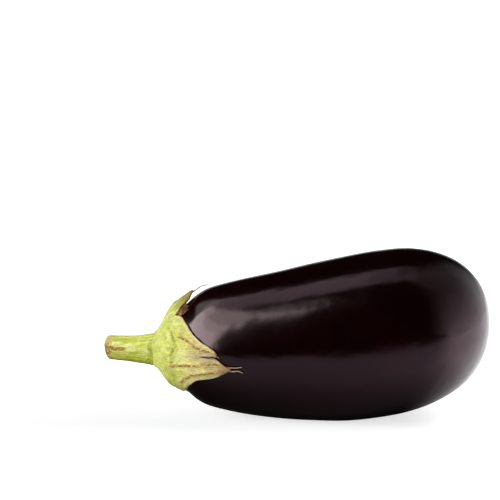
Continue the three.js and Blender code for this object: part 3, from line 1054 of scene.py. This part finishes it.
def floor_in_the_gloss():
    """Dark near the camera and in a painted shadow along under the fruit, with a bright patch past the
    blossom end.
    """
    f = Finish("floor_in_the_gloss")
    side = f.axis(f.place(), "X")
    depth = f.axis(f.place(), "Y")
    near = f.ease(depth - f.reckon("MINIMUM", side, 0) * 1.1, -0.42, -0.14)
    # Painted shadow: dark in a strip along under the fruit, except past the blossom end.
    clear_of_painted_shadow = f.ease(abs(depth), 0.01, 0.075)
    past_the_end = f.ease(side, 0.055, 0.145)
    lit = near * f.reckon("MAXIMUM", clear_of_painted_shadow, past_the_end)
    grey = f.tint(lit, MIRRORED_DARK, f.tint(f.ease(side, 0, 0.1), MIRRORED_BLUISH, MIRRORED_PALE))
    glow = f.tint(past_the_end * f.ease(depth + side * 0.8, -0.02, 0.085), BLACK, WHITE)
    return f.done(Base_Color=grey, Roughness=0.9, IOR=1.3, Emission_Color=glow, Emission_Strength=1.7)


def make_floor():
    """A pale floor that the camera sees, and a darker one that the fruit mirrors and is lit by."""
    floor = make_flat("studio_floor", 0, pale_floor())
    hide_from(floor, "glossy", "diffuse")
    mirrored = make_flat("floor_in_the_gloss", MIRRORED_HEIGHT, floor_in_the_gloss())
    hide_from(mirrored, "camera", "shadow", "transmission")


def make_backdrop():
    """A plain white shell round everything, which only the camera sees."""
    paint = Finish("white_backdrop").done(Base_Color=BLACK, Emission_Color=WHITE, Emission_Strength=1.0)
    bm = bmesh.new()
    bmesh.ops.create_uvsphere(bm, u_segments=64, v_segments=32, radius=BACKDROP_RADIUS)
    bmesh.ops.reverse_faces(bm, faces=bm.faces)
    shell = add_object("studio_backdrop", bm, paint)
    hide_from(shell, "diffuse", "glossy", "transmission", "shadow")


# ---- light ----
WINDOW_SIDE = (-0.948, -0.317)  # towards the window
WINDOW_COLOUR = (0.98, 1.06, 0.95)
ROSY = (1, 0.93, 1)
END_SIDE = (0.995, 0.1, 0)  # towards the glow past the blossom end


def add_light(name, lamp, turned):
    light = bpy.data.objects.new(name, lamp)
    light.rotation_euler = turned.to_euler()
    bpy.context.scene.collection.objects.link(light)
    return light


def make_panel(name, centre, target, size, radiance, gloss=True, colour=(1, 1, 1)):
    """A soft panel facing the target, which shows only in the gloss of things, or only lights them."""
    lamp = bpy.data.lights.new(name, "AREA")
    lamp.color = colour
    lamp.shape = "RECTANGLE"
    lamp.size, lamp.size_y = size
    lamp.energy = radiance * math.pi * size[0] * size[1]
    panel = add_light(name, lamp, (Vector(target) - Vector(centre)).to_track_quat("-Z", "Y"))
    panel.location = centre
    hide_from(panel, "camera", "diffuse" if gloss else "glossy")


def make_daylight(name, direction, strength, spread):
    """An even soft light over everything, which the gloss doesn't show."""
    lamp = bpy.data.lights.new(name, "SUN")
    lamp.energy = strength
    lamp.angle = math.radians(spread)
    hide_from(add_light(name, lamp, Vector(direction).to_track_quat("Z", "Y")), "glossy")


def make_window_panel(name, width, low, high, radiance, away=1.0, turned=0.0):
    """One of the panels that make up the tall window, brighter low down, about a metre from the fruit."""
    x, y = WINDOW_SIDE
    aside, along = away * math.sin(turned), away * math.cos(turned)
    middle = (low + high) / 2
    centre = (x * along + y * aside, y * along - x * aside, middle)
    make_panel(name, centre, (0, 0, middle), (width, high - low), radiance, colour=WINDOW_COLOUR)


def make_overhead_panels():
    """Three panels over the fruit, each a little higher than the last and reaching further along it."""
    for step, (end, radiance) in enumerate(((-0.2, 0.42), (0.05, 0.38), (0.3, 0.3))):
        start, height = -1.8, 1.4 + 0.03 * step
        middle = (start + end) / 2
        centre, target = (middle, 0.16, height), (middle, 0.14, 0)
        make_panel(f"overhead_panel_{step + 1}", centre, target, (end - start, 0.62), radiance, colour=ROSY)


def make_surroundings():
    """Dark overhead and towards the camera, a glow low down behind, and a broad one past the blossom end."""
    world = bpy.data.worlds.new("studio")
    bpy.context.scene.world = world
    world.use_nodes = True
    room = Nodes(world.node_tree)
    look = room.add("TexCoord", {}, {}, "Generated")
    height = room.axis(look, "Z")
    back = room.axis(look, "Y")
    level = room.add("VectorMath", {"operation": "MULTIPLY"}, {0: look, 1: (1, 1, 0)})
    level = room.add("VectorMath", {"operation": "NORMALIZE"}, {0: level})
    heading = room.add("VectorMath", {"operation": "DOT_PRODUCT"}, {0: level, 1: END_SIDE}, "Value")
    to_the_end = room.ease(heading, 0.45, 1.0)
    end_glow = room.reckon("MAXIMUM", 1 - height * 1.33, 0) ** 1.2 * 1.8 + 0.3
    low_glow = (1 - room.ease(height, 0.07, 0.2)) * room.ease(back, -0.2, 0.2) * 0.85
    strength = to_the_end * end_glow + (1 - to_the_end) * low_glow + 0.006
    sky = room.add("Background", {}, {"Color": WHITE, "Strength": strength})
    room.add("OutputWorld", {}, {"Surface": sky})


make_floor()
make_backdrop()
make_surroundings()
make_daylight("light_from_behind", (0.2, 0.6, 0.8), 1.3, 75)
make_daylight("light_from_the_front", (-0.76, -0.62, 0.4), 4.25, 44)
make_window_panel("window_panel", 1.44, 0.25, 2.18, 3.9)
make_window_panel("window_middle_panel", 1.45, 0.1, 1.28, 2.1, away=1.03)
make_window_panel("window_low_panel", 1.35, 0.1, 0.85, 1.9, away=1.06)
make_window_panel("window_back_panel", 0.62, 0.75, 2.3, 1.1, away=1.09, turned=math.radians(45))
make_window_panel("window_top_panel", 0.62, 2.1, 2.62, 0.75, away=1.02, turned=math.radians(-12))
make_overhead_panels()
make_panel("end_light", (0.6, 0.2, 0.4), (0.2, 0, 0), (0.5, 0.5), 2.5, gloss=False)

# ---- camera ----
EYE = Vector((-0.0249, -1.0855, 0.2689))
LOOKED_AT = Vector((-0.0249, 0, 0.0911))

lens = bpy.data.cameras.new("camera")
lens.lens = 149.4
lens.clip_start, lens.clip_end = 0.05, 50
camera = bpy.data.objects.new("camera", lens)
camera.location = EYE
camera.rotation_euler = (LOOKED_AT - EYE).to_track_quat("-Z", "Y").to_euler()
bpy.context.scene.collection.objects.link(camera)
bpy.context.scene.camera = camera
bpy.context.scene.view_settings.view_transform = "Standard"
